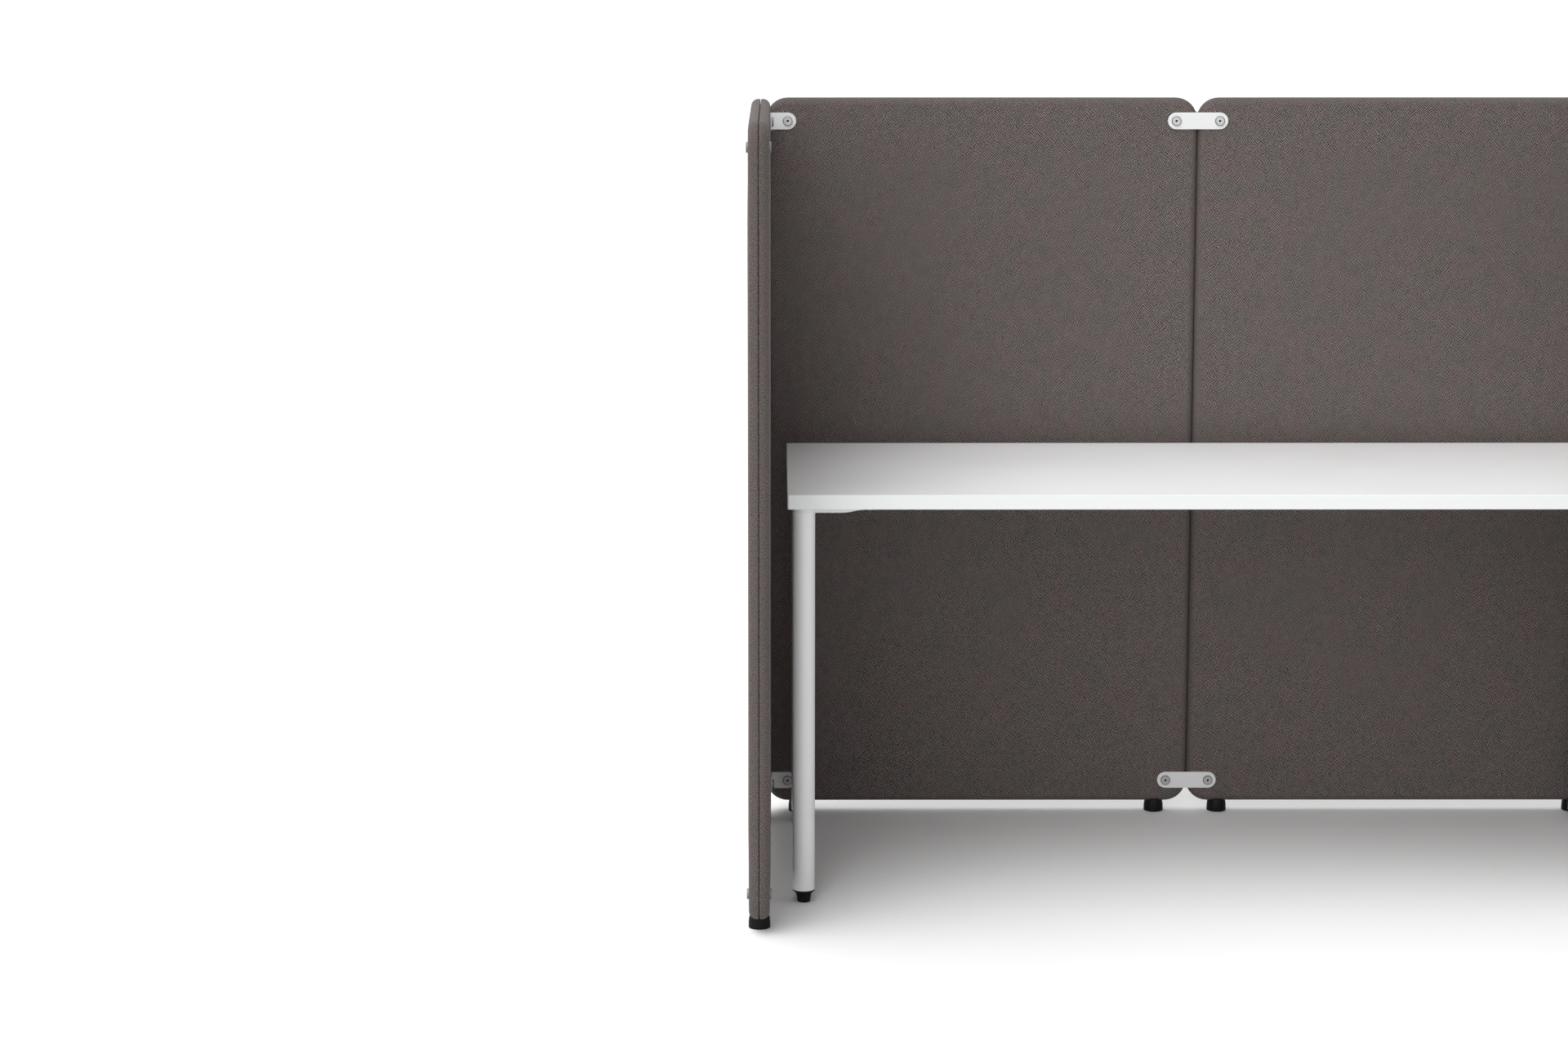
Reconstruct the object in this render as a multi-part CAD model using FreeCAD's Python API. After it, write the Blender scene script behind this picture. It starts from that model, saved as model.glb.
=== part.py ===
import FreeCAD, Part
import math
import os

# Study carrel: two upholstered back screens and two wing screens linked round a desk.
# Millimetres. +Z is up, the sitter faces +Y, and the origin is on the floor, under the
# middle of the whole bay.

Vector = FreeCAD.Vector
X_AXIS = Vector(1, 0, 0)
Y_AXIS = Vector(0, 1, 0)
Z_AXIS = Vector(0, 0, 1)

# ---- Screens -------------------------------------------------------------------------
screen_width = 800.0
screen_height = 1339.0
screen_floor_gap = 21.0
screen_corner_radius = 40.0

# Each screen is a core board between two upholstered pads, which meet at a dark seam.
pad_thickness = 17.0
pad_edge_radius = 14.0
pad_seam_radius = 2.0
pad_seam_gap = 1.0
core_thickness = 12.0
core_inset = 12.0
core_clearance = 0.1

# How the screens stand beside each other.
back_screen_gap = 0.6
corner_clearance = 0.8

# ---- Screen feet ---------------------------------------------------------------------
foot_floor_diameter = 36.8
foot_shoulder_diameter = 36.2
foot_shoulder_height = 14.0
foot_shoulder_round = 40.0
foot_top_diameter = 30.8
foot_top_round = 1.2
foot_ear_height = 4.0
foot_end_distance = 60.0
foot_floor_chamfer = 1.0
foot_saddle_clearance = 0.3
foot_screw_diameter = 6.0
foot_screw_depth = 28.0
foot_screw_head_diameter = 12.0
foot_screw_head_height = 3.5
foot_screw_head_recess = 6.0

# ---- Links between screens -----------------------------------------------------------
link_end_distance = 40.0
link_edge_distance = 42.5
link_head_diameter = 18.0
link_head_height = 3.4
link_head_round = 1.6
link_hex_across_corners = 4.6
link_hex_depth = 2.0
link_screw_diameter = 6.0
link_screw_length = 22.0
sleeve_diameter = 10.0
sleeve_length = 26.0
sleeve_bore_depth = 20.0
sleeve_hole_clearance = 0.2
thread_clearance = 0.05
screw_hole_clearance = 0.25
plate_width = 31.0
plate_thickness = 3.0
plate_edge_round = 0.8
angle_outside_round = 3.6
angle_inside_round = 0.8

# ---- Desk top ------------------------------------------------------------------------
desk_side_gap = 30.0
desk_depth = 576.0
desk_height = 719.0
desk_top_thickness = 25.0
desk_back_gap = 35.0
laminate_thickness = 0.8
edge_band_thickness = 2.0
desk_corner_radius = 3.0
edge_band_round = 0.8

# ---- Desk legs -----------------------------------------------------------------------
leg_diameter = 38.0
leg_wall = 1.5
leg_edge_distance = 28.5
leg_floor_gap = 22.4
bracket_thickness = 8.0
bracket_arm_width = 26.0
bracket_reach = 126.0
bracket_thick_reach = 62.0
bracket_curve_length = 44.0
bracket_tip_thickness = 2.8
spigot_length = 45.0
spigot_chamfer = 1.5
spigot_clearance = 0.15
bracket_screw_diameter = 4.0
bracket_screw_length = 16.0
bracket_screw_hub_distance = 48.0
bracket_screw_head_diameter = 8.0
bracket_screw_head_height = 2.4
bracket_screw_slot_width = 0.9
bracket_screw_slot_length = 4.0

# ---- Levelling glides ----------------------------------------------------------------
insert_flange_thickness = 7.2
insert_flange_low_diameter = 27.6
insert_rim_height = 2.4
insert_plug_length = 24.0
glide_stem_diameter = 8.0
glide_stem_length = 45.0
glide_stem_embed = 8.5
glide_thread_clearance = 0.05
glide_top_diameter = 26.6
glide_floor_diameter = 22.0
glide_height = 14.5
glide_top_round = 1.2
glide_floor_chamfer = 0.8

# The least round or flat that is left where a round takes up nearly all of a wall.
least_round = 0.5

# Two coordinates nearer than this are the same.
same_place = 1e-4

# ---- Places worked out from the sizes -------------------------------------------------
screen_thickness = 2 * pad_thickness + pad_seam_gap
pad_round = min(pad_edge_radius, pad_thickness - pad_seam_radius - least_round)
core_corner_radius = max(screen_corner_radius - core_inset, least_round)
screen_bottom = screen_floor_gap
screen_top = screen_bottom + screen_height
screen_mid = screen_bottom + screen_height / 2

# A wing's rounded edge tucks past the back screen's rounded edge, clear by the corner
# clearance along the diagonal between the two rounds.
corner_lap = 2 * pad_round - (2 * pad_round + corner_clearance) / math.sqrt(2)
wing_inner_x = back_screen_gap / 2 + screen_width - corner_lap

rear_reach = screen_thickness + plate_thickness + link_head_height
front_reach = screen_width - corner_lap
back_face_y = (front_reach - rear_reach) / 2

back_screen_x = (back_screen_gap + screen_width) / 2
back_screen_y = back_face_y + screen_thickness / 2
wing_screen_x = wing_inner_x + screen_thickness / 2
wing_screen_y = back_face_y + corner_lap - screen_width / 2

link_x = screen_width / 2 - link_end_distance
link_levels = {
    "bottom": screen_bottom + link_edge_distance,
    "top": screen_top - link_edge_distance,
}
foot_x = screen_width / 2 - foot_end_distance

desk_width = 2 * (wing_inner_x - desk_side_gap)
desk_back_y = back_face_y - desk_back_gap
desk_mid_y = desk_back_y - desk_depth / 2
desk_underside = desk_height - desk_top_thickness
board_width = desk_width - 2 * edge_band_thickness
board_depth = desk_depth - 2 * edge_band_thickness
board_thickness = desk_top_thickness - 2 * laminate_thickness
leg_x = desk_width / 2 - leg_edge_distance
leg_offset_y = desk_depth / 2 - leg_edge_distance
leg_top = desk_underside - bracket_thickness
leg_bore = leg_diameter - 2 * leg_wall
bracket_tip_centre = bracket_reach - bracket_arm_width / 2
bracket_screw_distances = (bracket_screw_hub_distance, bracket_tip_centre)

# Each screen: where its middle is, how far it is turned about Z, what its -x and +x ends
# are called, and whether a plate lies on its inner and outer face at each end. Before it
# is turned, a screen's inner face looks to -Y.
SCREENS = {
    "back_left": {
        "place": Vector(-back_screen_x, back_screen_y, 0),
        "turn": 0,
        "ends": {-1: "left", 1: "right"},
        "plates": {-1: (True, False), 1: (True, True)},
    },
    "back_right": {
        "place": Vector(back_screen_x, back_screen_y, 0),
        "turn": 0,
        "ends": {-1: "left", 1: "right"},
        "plates": {-1: (True, True), 1: (True, False)},
    },
    "wing_left": {
        "place": Vector(-wing_screen_x, wing_screen_y, 0),
        "turn": 90,
        "ends": {-1: "front", 1: "rear"},
        "plates": {-1: (False, False), 1: (True, False)},
    },
    "wing_right": {
        "place": Vector(wing_screen_x, wing_screen_y, 0),
        "turn": -90,
        "ends": {-1: "rear", 1: "front"},
        "plates": {-1: (True, False), 1: (False, False)},
    },
}

LEGS = {
    "front_left": (-1, -1),
    "front_right": (1, -1),
    "rear_left": (-1, 1),
    "rear_right": (1, 1),
}

nodes = {}


# ---- Small helpers ---------------------------------------------------------------------
def moved(shape, offset):
    copy = shape.copy()
    copy.translate(offset)
    return copy


def placed(shape, screen):
    """Turn and move a shape from a screen's own frame into the bay."""
    copy = shape.copy()
    copy.rotate(Vector(0, 0, 0), Z_AXIS, screen["turn"])
    copy.translate(screen["place"])
    return copy


def rounded_slab(width, height, thickness, corner_radius):
    """A slab with round corners, standing in the XZ plane from y = 0 to y = thickness."""
    left, right = -width / 2, width / 2
    low, high = -height / 2, height / 2
    r = corner_radius
    corners = [
        (right - r, low + r, -90),
        (right - r, high - r, 0),
        (left + r, high - r, 90),
        (left + r, low + r, 180),
    ]
    edges = []
    ends = []
    for x, z, start in corners:
        points = [
            Vector(x + r * math.cos(math.radians(a)), 0, z + r * math.sin(math.radians(a)))
            for a in (start, start + 45, start + 90)
        ]
        edges.append(Part.Arc(*points).toShape())
        ends.append((points[0], points[2]))
    for (_, leave), (arrive, _) in zip(ends, ends[1:] + ends[:1]):
        edges.append(Part.LineSegment(leave, arrive).toShape())
    wire = Part.Wire(Part.__sortEdges__(edges))
    return Part.Face(wire).extrude(Vector(0, thickness, 0))


def edges_at(shape, axis, value):
    """The edges of a shape that lie wholly in the plane where the axis has this value."""
    found = []
    for edge in shape.Edges:
        box = edge.BoundBox
        spans = {"x": (box.XMin, box.XMax), "y": (box.YMin, box.YMax), "z": (box.ZMin, box.ZMax)}
        if all(abs(end - value) < same_place for end in spans[axis]):
            found.append(edge)
    return found


def upright_edges(shape, x, y):
    """The upright edges of a shape that stand at this x and y."""
    at_x = edges_at(shape, "x", x)
    return [edge for edge in at_x if abs(edge.BoundBox.YMin - y) + abs(edge.BoundBox.YMax - y) < same_place]


def pill(length_from, length_to, width, thickness):
    """A bar along X in the XZ plane with a full-round end at length_to, y from 0."""
    r = width / 2
    straight = Part.makeBox(length_to - length_from, thickness, width, Vector(length_from, 0, -r))
    end = Part.makeCylinder(r, thickness, Vector(length_to, 0, 0), Y_AXIS)
    return straight.fuse(end).removeSplitter()


def revolved(points):
    """A solid of revolution about Z from a closed outline of (radius, z) points."""
    corners = [Vector(radius, 0, z) for radius, z in points]
    outline = Part.makePolygon(corners + corners[:1])
    return Part.Face(outline).revolve(Vector(0, 0, 0), Z_AXIS, 360)


def hexagon_socket(across_corners, depth):
    """A six-sided socket that opens at z = 0 and goes down."""
    r = across_corners / 2
    corners = [
        Vector(r * math.cos(math.radians(60 * i)), r * math.sin(math.radians(60 * i)), 0)
        for i in range(7)
    ]
    return Part.Face(Part.makePolygon(corners)).extrude(Vector(0, 0, -depth))


# ---- Screens -------------------------------------------------------------------------
def core_board():
    width = screen_width - 2 * core_inset
    height = screen_height - 2 * core_inset
    board = rounded_slab(width, height, core_thickness, core_corner_radius)
    return moved(board, Vector(0, -core_thickness / 2, screen_mid))


def core_pocket():
    width = screen_width - 2 * core_inset + 2 * core_clearance
    height = screen_height - 2 * core_inset + 2 * core_clearance
    radius = core_corner_radius + core_clearance
    depth = core_thickness + 2 * core_clearance
    return moved(rounded_slab(width, height, depth, radius), Vector(0, -depth / 2, screen_mid))


def outer_pad():
    """The pad on a screen's outer side, from its seam face out to its rounded outer face."""
    slab = rounded_slab(screen_width, screen_height, pad_thickness, screen_corner_radius)
    slab = slab.makeFillet(pad_round, edges_at(slab, "y", pad_thickness))
    slab = slab.makeFillet(pad_seam_radius, edges_at(slab, "y", 0.0))
    return moved(slab, Vector(0, pad_seam_gap / 2, screen_mid))


def link_holes():
    radius = sleeve_diameter / 2 + sleeve_hole_clearance
    holes = []
    for side in (-1, 1):
        for level in link_levels.values():
            start = Vector(side * link_x, -screen_thickness, level)
            holes.append(Part.makeCylinder(radius, 2 * screen_thickness, start, Y_AXIS))
    return holes


def foot_screw_holes():
    radius = foot_screw_diameter / 2 + thread_clearance
    length = core_inset + foot_screw_depth + thread_clearance
    return [
        Part.makeCylinder(radius, length, Vector(side * foot_x, 0, screen_bottom), Z_AXIS)
        for side in (-1, 1)
    ]


def screen_foot():
    """A round foot with a saddle that follows the underside of the two pads."""
    top = screen_bottom + foot_ear_height
    floor_radius = foot_floor_diameter / 2
    body = revolved([
        (0, 0),
        (floor_radius - foot_floor_chamfer, 0),
        (floor_radius, foot_floor_chamfer),
        (foot_shoulder_diameter / 2, foot_shoulder_height),
        (foot_top_diameter / 2, top),
        (0, top),
    ])
    body = body.makeFillet(foot_shoulder_round, edges_at(body, "z", foot_shoulder_height))
    body = body.makeFillet(foot_top_round, edges_at(body, "z", top))
    length = 2 * foot_floor_diameter
    thickness = screen_thickness + 2 * foot_saddle_clearance
    low = screen_bottom - foot_saddle_clearance
    saddle = Part.makeBox(length, thickness, screen_height, Vector(-length / 2, -thickness / 2, low))
    low_edges = [edge for edge in edges_at(saddle, "z", low) if edge.BoundBox.YLength < same_place]
    saddle = saddle.makeFillet(pad_round + foot_saddle_clearance, low_edges)
    screw_hole = Part.makeCylinder(foot_screw_diameter / 2 + screw_hole_clearance, 2 * top)
    recess_depth = foot_screw_head_recess + foot_screw_head_height
    recess = Part.makeCylinder(foot_screw_head_diameter / 2 + screw_hole_clearance, recess_depth)
    return body.cut([saddle, screw_hole, recess])


def foot_screw():
    """A pan-head screw, up through the foot and into the edge of the core board."""
    seat = foot_screw_head_recess + foot_screw_head_height
    tip = screen_bottom + core_inset + foot_screw_depth
    head = Part.makeCylinder(
        foot_screw_head_diameter / 2, foot_screw_head_height, Vector(0, 0, foot_screw_head_recess)
    )
    shank = Part.makeCylinder(foot_screw_diameter / 2, tip - seat, Vector(0, 0, seat))
    socket = hexagon_socket(link_hex_across_corners, link_hex_depth)
    socket = moved(socket, Vector(0, 0, foot_screw_head_recess + link_hex_depth))
    return head.fuse(shank).cut(socket).removeSplitter()


def build_screens():
    holes = link_holes() + foot_screw_holes()
    outer = outer_pad().cut(holes + [core_pocket()])
    inner = outer.copy()
    inner.rotate(Vector(0, 0, 0), Z_AXIS, 180)
    core = core_board().cut(holes)
    foot = screen_foot()
    screw = foot_screw()
    screws = []
    for name, screen in SCREENS.items():
        nodes[name + "_inner_pad"] = placed(inner, screen)
        nodes[name + "_outer_pad"] = placed(outer, screen)
        nodes[name + "_core_board"] = placed(core, screen)
        for side, end in screen["ends"].items():
            offset = Vector(side * foot_x, 0, 0)
            nodes[name + "_foot_" + end] = placed(moved(foot, offset), screen)
            screws.append(placed(moved(screw, offset), screen))
    nodes["foot_screws"] = Part.makeCompound(screws)


# ---- Links -----------------------------------------------------------------------------
def link_head():
    """A low round head that stands on z = 0, with a hexagon socket in its crown."""
    head = Part.makeCylinder(link_head_diameter / 2, link_head_height)
    head = head.makeFillet(link_head_round, edges_at(head, "z", link_head_height))
    socket = hexagon_socket(link_hex_across_corners, link_hex_depth)
    return head.cut(moved(socket, Vector(0, 0, link_head_height)))


def link_screw():
    shank = Part.makeCylinder(
        link_screw_diameter / 2, link_screw_length, Vector(0, 0, -link_screw_length)
    )
    return link_head().fuse(shank).removeSplitter()


def sleeve_nut():
    sleeve = Part.makeCylinder(sleeve_diameter / 2, sleeve_length, Vector(0, 0, -sleeve_length))
    bore = Part.makeCylinder(
        link_screw_diameter / 2 + thread_clearance, sleeve_bore_depth, Vector(0, 0, -sleeve_length)
    )
    return link_head().fuse(sleeve).cut(bore).removeSplitter()


def on_face(piece, x, level, plated, outer):
    """Stand a head on a screen's inner or outer face, or on the plate that lies there."""
    copy = piece.copy()
    copy.rotate(Vector(0, 0, 0), X_AXIS, -90 if outer else 90)
    face = screen_thickness / 2 + (plate_thickness if plated else 0)
    copy.translate(Vector(x, face if outer else -face, level))
    return copy


def build_links():
    screw, sleeve = link_screw(), sleeve_nut()
    screws, sleeves = [], []
    for screen in SCREENS.values():
        for side, (inner_plate, outer_plate) in screen["plates"].items():
            for level in link_levels.values():
                x = side * link_x
                screws.append(placed(on_face(screw, x, level, inner_plate, False), screen))
                sleeves.append(placed(on_face(sleeve, x, level, outer_plate, True), screen))
    nodes["link_screws"] = Part.makeCompound(screws)
    nodes["sleeve_nuts"] = Part.makeCompound(sleeves)


def seam_plate():
    """A flat plate with two round ends and two holes, with its back on y = 0."""
    reach = back_screen_gap / 2 + link_end_distance
    half = pill(0, reach, plate_width, plate_thickness)
    plate = half.fuse(half.mirror(Vector(0, 0, 0), X_AXIS)).removeSplitter()
    plate = plate.makeFillet(plate_edge_round, edges_at(plate, "y", plate_thickness))
    radius = sleeve_diameter / 2 + sleeve_hole_clearance
    holes = [
        Part.makeCylinder(radius, 3 * plate_thickness, Vector(x, -plate_thickness, 0), Y_AXIS)
        for x in (-reach, reach)
    ]
    return plate.cut(holes)


def corner_angle():
    """The angle plate for the left inside corner, with its outside corner at x = y = 0."""
    reach = link_end_distance - corner_lap
    radius = sleeve_diameter / 2 + sleeve_hole_clearance
    along_back = moved(pill(0, reach, plate_width, plate_thickness), Vector(0, -plate_thickness, 0))
    along_wing = along_back.copy()
    along_wing.rotate(Vector(0, 0, 0), Z_AXIS, -90)
    along_wing.translate(Vector(plate_thickness, 0, 0))
    plate = along_back.fuse(along_wing).removeSplitter()
    plate = plate.makeFillet(angle_outside_round, upright_edges(plate, 0.0, 0.0))
    inside = upright_edges(plate, plate_thickness, -plate_thickness)
    plate = plate.makeFillet(angle_inside_round, inside)
    length = 4 * plate_thickness
    back_hole = Part.makeCylinder(radius, length, Vector(reach, -2 * plate_thickness, 0), Y_AXIS)
    wing_hole = Part.makeCylinder(radius, length, Vector(-plate_thickness, -reach, 0), X_AXIS)
    return plate.cut([back_hole, wing_hole])


def build_plates():
    rear = seam_plate()
    front = rear.copy()
    front.rotate(Vector(0, 0, 0), Z_AXIS, 180)
    left = corner_angle()
    right = left.mirror(Vector(0, 0, 0), X_AXIS)
    for level, z in link_levels.items():
        nodes["seam_plate_front_" + level] = moved(front, Vector(0, back_face_y, z))
        nodes["seam_plate_rear_" + level] = moved(rear, Vector(0, back_face_y + screen_thickness, z))
        nodes["corner_angle_left_" + level] = moved(left, Vector(-wing_inner_x, back_face_y, z))
        nodes["corner_angle_right_" + level] = moved(right, Vector(wing_inner_x, back_face_y, z))


# ---- Desk ------------------------------------------------------------------------------
def flat_panel(width, depth, thickness, corner_radius, underside):
    """A level panel with round corners, centred under the desk's middle."""
    panel = rounded_slab(width, depth, thickness, corner_radius)
    panel.rotate(Vector(0, 0, 0), X_AXIS, 90)
    return moved(panel, Vector(0, desk_mid_y, underside))


def leg_centre(side, end):
    return Vector(side * leg_x, desk_mid_y + end * leg_offset_y, 0)


def bracket_screw_places():
    """Each bracket screw: its leg's centre, its arm's direction and its distance out."""
    places = []
    for side, end in LEGS.values():
        for direction in (Vector(-side, 0, 0), Vector(0, -end, 0)):
            for distance in bracket_screw_distances:
                places.append((leg_centre(side, end) + direction * distance, distance))
    return places


def build_desk_top():
    inner_radius = max(desk_corner_radius - edge_band_thickness, least_round)
    holes = [
        Part.makeCylinder(
            bracket_screw_diameter / 2 + thread_clearance,
            bracket_screw_length,
            Vector(place.x, place.y, desk_underside),
        )
        for place, _ in bracket_screw_places()
    ]
    board = flat_panel(
        board_width, board_depth, board_thickness, inner_radius, desk_underside + laminate_thickness
    )
    nodes["desk_board"] = board.cut(holes)
    backing = flat_panel(board_width, board_depth, laminate_thickness, inner_radius, desk_underside)
    nodes["desk_backing"] = backing.cut(holes)
    nodes["desk_laminate"] = flat_panel(
        board_width, board_depth, laminate_thickness, inner_radius, desk_height - laminate_thickness
    )
    outside = flat_panel(
        desk_width, desk_depth, desk_top_thickness, desk_corner_radius, desk_underside
    )
    outside = outside.makeFillet(
        edge_band_round, edges_at(outside, "z", desk_height) + edges_at(outside, "z", desk_underside)
    )
    inside = flat_panel(board_width, board_depth, desk_top_thickness, inner_radius, desk_underside)
    nodes["desk_edge_band"] = outside.cut(inside)


def s_curve(start, end):
    """Two equal arcs in the XZ plane, level at both ends, from one point to the other."""
    half_x, half_z = (end.x - start.x) / 2, (end.z - start.z) / 2
    radius = (half_x ** 2 + half_z ** 2) / (2 * half_z)
    angle = math.asin(half_x / radius) / 2
    middle = (start + end) / 2
    run, rise = radius * math.sin(angle), radius * (1 - math.cos(angle))
    first = Part.Arc(start, start + Vector(run, 0, rise), middle).toShape()
    second = Part.Arc(middle, end - Vector(run, 0, rise), end).toShape()
    return [first, second]


def bracket_arm():
    """One arm of a leg bracket along +X, with its flat top on z = 0 and the leg at x = 0."""
    half_width = bracket_arm_width / 2
    low = -bracket_thickness
    tip_low = -bracket_tip_thickness
    curve_start = Vector(bracket_thick_reach, 0, low)
    curve_end = Vector(bracket_thick_reach + bracket_curve_length, 0, tip_low)
    outline = [
        Part.LineSegment(Vector(0, 0, low), curve_start).toShape(),
        *s_curve(curve_start, curve_end),
        Part.LineSegment(curve_end, Vector(bracket_reach, 0, tip_low)).toShape(),
        Part.LineSegment(Vector(bracket_reach, 0, tip_low), Vector(bracket_reach, 0, 0)).toShape(),
        Part.LineSegment(Vector(bracket_reach, 0, 0), Vector(0, 0, 0)).toShape(),
        Part.LineSegment(Vector(0, 0, 0), Vector(0, 0, low)).toShape(),
    ]
    side_view = Part.Face(Part.Wire(outline))
    bar = moved(side_view.extrude(Vector(0, bracket_arm_width, 0)), Vector(0, -half_width, 0))
    plan = pill(0, bracket_tip_centre, bracket_arm_width, 2 * bracket_thickness)
    plan.rotate(Vector(0, 0, 0), X_AXIS, 90)
    plan.translate(Vector(0, 0, -bracket_thickness * 1.5))
    return bar.common(plan)


def leg_bracket(side, end):
    """A cast bracket: a hub on the leg, a spigot down its bore and two arms to screw on."""
    hub = Part.makeCylinder(leg_diameter / 2, bracket_thickness, Vector(0, 0, -bracket_thickness))
    spigot_radius = leg_bore / 2 - spigot_clearance
    spigot = Part.makeCylinder(
        spigot_radius, spigot_length, Vector(0, 0, -bracket_thickness - spigot_length)
    )
    spigot = spigot.makeChamfer(spigot_chamfer, edges_at(spigot, "z", -bracket_thickness - spigot_length))
    arm = bracket_arm()
    along_x = arm.copy()
    along_y = arm.copy()
    along_x.rotate(Vector(0, 0, 0), Z_AXIS, 180 if side > 0 else 0)
    along_y.rotate(Vector(0, 0, 0), Z_AXIS, -90 * end)
    body = hub.fuse([along_x, along_y, spigot]).removeSplitter()
    radius = bracket_screw_diameter / 2 + screw_hole_clearance
    holes = []
    for direction in (Vector(-side, 0, 0), Vector(0, -end, 0)):
        for distance in bracket_screw_distances:
            start = direction * distance + Vector(0, 0, -2 * bracket_thickness)
            holes.append(Part.makeCylinder(radius, 3 * bracket_thickness, start))
    return body.cut(holes)


def bracket_screw():
    """A pan-head wood screw that points up, with the underside of its head on z = 0."""
    head = Part.makeCylinder(
        bracket_screw_head_diameter / 2, bracket_screw_head_height,
        Vector(0, 0, -bracket_screw_head_height),
    )
    head = head.makeFillet(
        bracket_screw_head_height / 2, edges_at(head, "z", -bracket_screw_head_height)
    )
    slot_depth = bracket_screw_head_height / 2
    length, width = bracket_screw_slot_length, bracket_screw_slot_width
    corner = Vector(-length / 2, -width / 2, -bracket_screw_head_height)
    slot = Part.makeBox(length, width, slot_depth, corner)
    cross = slot.copy()
    cross.rotate(Vector(0, 0, 0), Z_AXIS, 90)
    return head.cut([slot, cross])


def arm_depth_at(distance):
    return bracket_thickness if distance <= bracket_thick_reach else bracket_tip_thickness


def build_legs():
    screws = []
    for place, distance in bracket_screw_places():
        depth = arm_depth_at(distance)
        under = Vector(place.x, place.y, desk_underside - depth)
        length = bracket_screw_length - laminate_thickness + depth
        shank = Part.makeCylinder(bracket_screw_diameter / 2, length, under)
        screws.append(moved(bracket_screw(), under).fuse(shank).removeSplitter())
    nodes["bracket_screws"] = Part.makeCompound(screws)

    tube_length = leg_top - leg_floor_gap
    tube = Part.makeCylinder(leg_diameter / 2, tube_length).cut(
        Part.makeCylinder(leg_bore / 2, tube_length)
    )
    for name, (side, end) in LEGS.items():
        centre = leg_centre(side, end)
        nodes["leg_" + name] = moved(tube, centre + Vector(0, 0, leg_floor_gap))
        nodes["leg_bracket_" + name] = moved(
            leg_bracket(side, end), centre + Vector(0, 0, desk_underside)
        )
        nodes["leg_insert_" + name] = moved(leg_insert(), centre)
        nodes["glide_stem_" + name] = moved(glide_stem(), centre)
        nodes["glide_pad_" + name] = moved(glide_pad(), centre)


# ---- Levelling glides --------------------------------------------------------------------
def leg_insert():
    """The plug in a leg's end, with a flange under the tube and a threaded bore."""
    bore = glide_stem_diameter / 2 + glide_thread_clearance
    plug = leg_bore / 2 - spigot_clearance
    flange = leg_diameter / 2
    low = leg_floor_gap - insert_flange_thickness
    return revolved([
        (bore, low),
        (insert_flange_low_diameter / 2, low),
        (flange, leg_floor_gap - insert_rim_height),
        (flange, leg_floor_gap),
        (plug, leg_floor_gap),
        (plug, leg_floor_gap + insert_plug_length),
        (bore, leg_floor_gap + insert_plug_length),
    ])


def glide_stem():
    low = glide_height - glide_stem_embed
    return Part.makeCylinder(glide_stem_diameter / 2, glide_stem_length, Vector(0, 0, low))


def glide_pad():
    top_radius = glide_top_diameter / 2
    floor_radius = glide_floor_diameter / 2
    body = revolved([
        (0, 0),
        (floor_radius - glide_floor_chamfer, 0),
        (floor_radius, glide_floor_chamfer),
        (top_radius, glide_height),
        (0, glide_height),
    ])
    body = body.makeFillet(glide_top_round, edges_at(body, "z", glide_height))
    socket = Part.makeCylinder(
        glide_stem_diameter / 2, glide_stem_embed, Vector(0, 0, glide_height - glide_stem_embed)
    )
    return body.cut(socket)


# ---- Build and write ---------------------------------------------------------------------
build_screens()
build_links()
build_plates()
build_desk_top()
build_legs()

os.makedirs("parts", exist_ok=True)
for name, shape in nodes.items():
    shape.exportStep("parts/" + name + ".step")
print(len(nodes), "sub-parts written")
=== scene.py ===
# %% [markdown]
# # A study carrel
#
# A plain white desk stands in a bay of upholstered acoustic screens. The desk and the
# screens are separate furniture, so this file dresses them one after the other: first the
# light and the camera, then the finishes, and then the pieces whose shape a plain solid
# can't give, which are above all the eight upholstered pads.

import math

import bmesh
import bpy
from mathutils import Matrix, Vector


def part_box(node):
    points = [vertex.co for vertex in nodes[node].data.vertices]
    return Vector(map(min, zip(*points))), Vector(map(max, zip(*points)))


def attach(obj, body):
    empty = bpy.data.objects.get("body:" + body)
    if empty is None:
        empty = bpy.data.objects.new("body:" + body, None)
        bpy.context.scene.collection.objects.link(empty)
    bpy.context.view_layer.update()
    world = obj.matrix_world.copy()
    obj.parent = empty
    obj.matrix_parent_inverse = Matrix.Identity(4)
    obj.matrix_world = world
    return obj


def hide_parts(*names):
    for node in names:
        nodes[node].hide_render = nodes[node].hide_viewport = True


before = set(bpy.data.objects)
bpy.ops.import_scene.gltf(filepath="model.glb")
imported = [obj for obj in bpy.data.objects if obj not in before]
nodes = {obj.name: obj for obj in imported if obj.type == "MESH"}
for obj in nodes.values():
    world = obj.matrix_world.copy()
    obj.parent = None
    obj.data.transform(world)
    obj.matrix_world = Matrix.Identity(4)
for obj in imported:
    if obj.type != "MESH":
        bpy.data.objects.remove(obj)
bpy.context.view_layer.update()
MM = 0.001

# %% [markdown]
# ## Helpers for materials
#
# Finishes are easier to compare when their colours are written the way a colour picker
# shows them, as sRGB hex. The renderer works in linear light, so one function converts.
# Node trees are wordy, so one more function adds a node, sets it up and wires its inputs.
# Everything else about a material is written where that material is made.

# %% Colour and node helpers
def linear(hex_colour):
    """An sRGB hex colour as linear RGBA."""
    channels = [int(hex_colour[i:i + 2], 16) / 255 for i in (0, 2, 4)]
    return tuple(
        c / 12.92 if c <= 0.04045 else ((c + 0.055) / 1.055) ** 2.4 for c in channels
    ) + (1.0,)


def darker(hex_colour, share):
    """The same colour with this share of its light."""
    return tuple(c * share for c in linear(hex_colour)[:3]) + (1.0,)


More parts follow.
